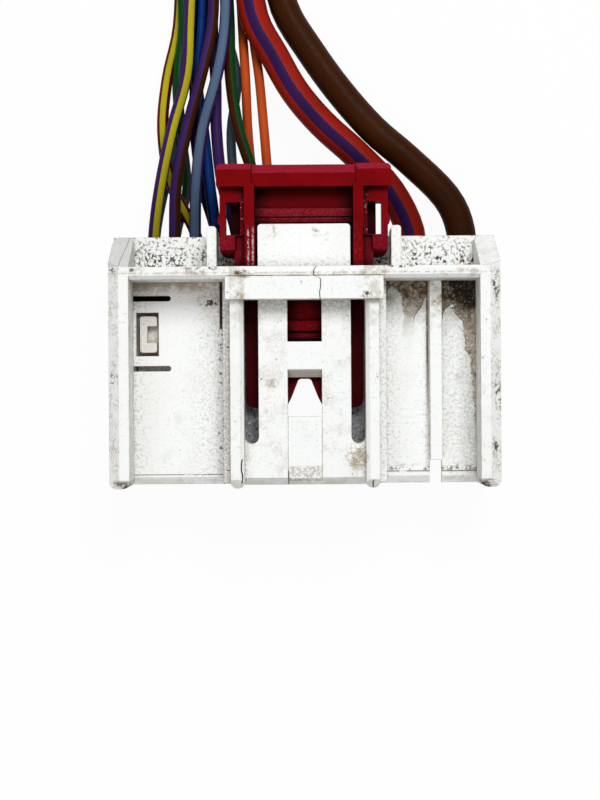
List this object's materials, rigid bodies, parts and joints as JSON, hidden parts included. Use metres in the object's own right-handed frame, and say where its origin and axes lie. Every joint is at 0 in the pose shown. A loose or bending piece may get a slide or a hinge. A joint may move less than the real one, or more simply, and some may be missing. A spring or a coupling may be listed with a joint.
{
  "type": "wire to board connector housing",
  "caption": "Rectangular white plug housing for a board header, with a flexing latch arm, a red lock slide and a pigtail of cut wires.",
  "frame": {"origin": "middle of the housing's flat back face, on the surface it lies on", "axes": "+Z out of the latch side, +Y towards the wires, -Y towards the mating end, +X to the power contacts"},
  "size_m": [0.0548, 0.09, 0.022],
  "materials": {
    "white_plastic": "satin, dirty",
    "carrier_plastic": "satin",
    "red_plastic": "semi-gloss, scratched",
    "contact_metal": "plated",
    "purple_insulation": "satin",
    "slate_insulation": "satin",
    "blue_insulation": "satin",
    "brown_insulation": "satin",
    "orange_insulation": "satin",
    "yellow_insulation": "satin",
    "green_insulation": "satin",
    "red_insulation": "satin"
  },
  "bodies": {
    "plug": {"housing": "white_plastic", "signal_carrier": "carrier_plastic", "signal_contact_1": "contact_metal", "signal_contact_2": "contact_metal", "signal_contact_3": "contact_metal", "signal_contact_4": "contact_metal", "signal_contact_5": "contact_metal", "signal_contact_6": "contact_metal", "signal_contact_7": "contact_metal", "signal_contact_8": "contact_metal", "signal_contact_9": "contact_metal", "signal_contact_10": "contact_metal", "signal_contact_11": "contact_metal", "signal_contact_12": "contact_metal", "signal_contact_13": "contact_metal", "power_contact_1": "contact_metal", "power_contact_2": "contact_metal", "wire_purple_yellow": "purple_insulation", "wire_purple_brown": "purple_insulation", "wire_slate_purple": "slate_insulation", "wire_blue": "blue_insulation", "wire_purple": "purple_insulation", "wire_brown_green": "brown_insulation", "wire_orange_1": "orange_insulation", "wire_slate": "slate_insulation", "wire_red_yellow": "yellow_insulation", "wire_green": "green_insulation", "wire_navy": "blue_insulation", "wire_grey": "slate_insulation", "wire_orange_2": "orange_insulation", "power_wire_red": "red_insulation", "power_wire_brown": "brown_insulation"},
    "slide": {"lock_slide": "red_plastic"}
  },
  "joints": [
    {"name": "lock_slide_travel", "type": "slide", "parent": "plug", "child": "slide", "axis": [0, 1, 0], "range_m": [-0.0013, 0.004]}
  ]
}
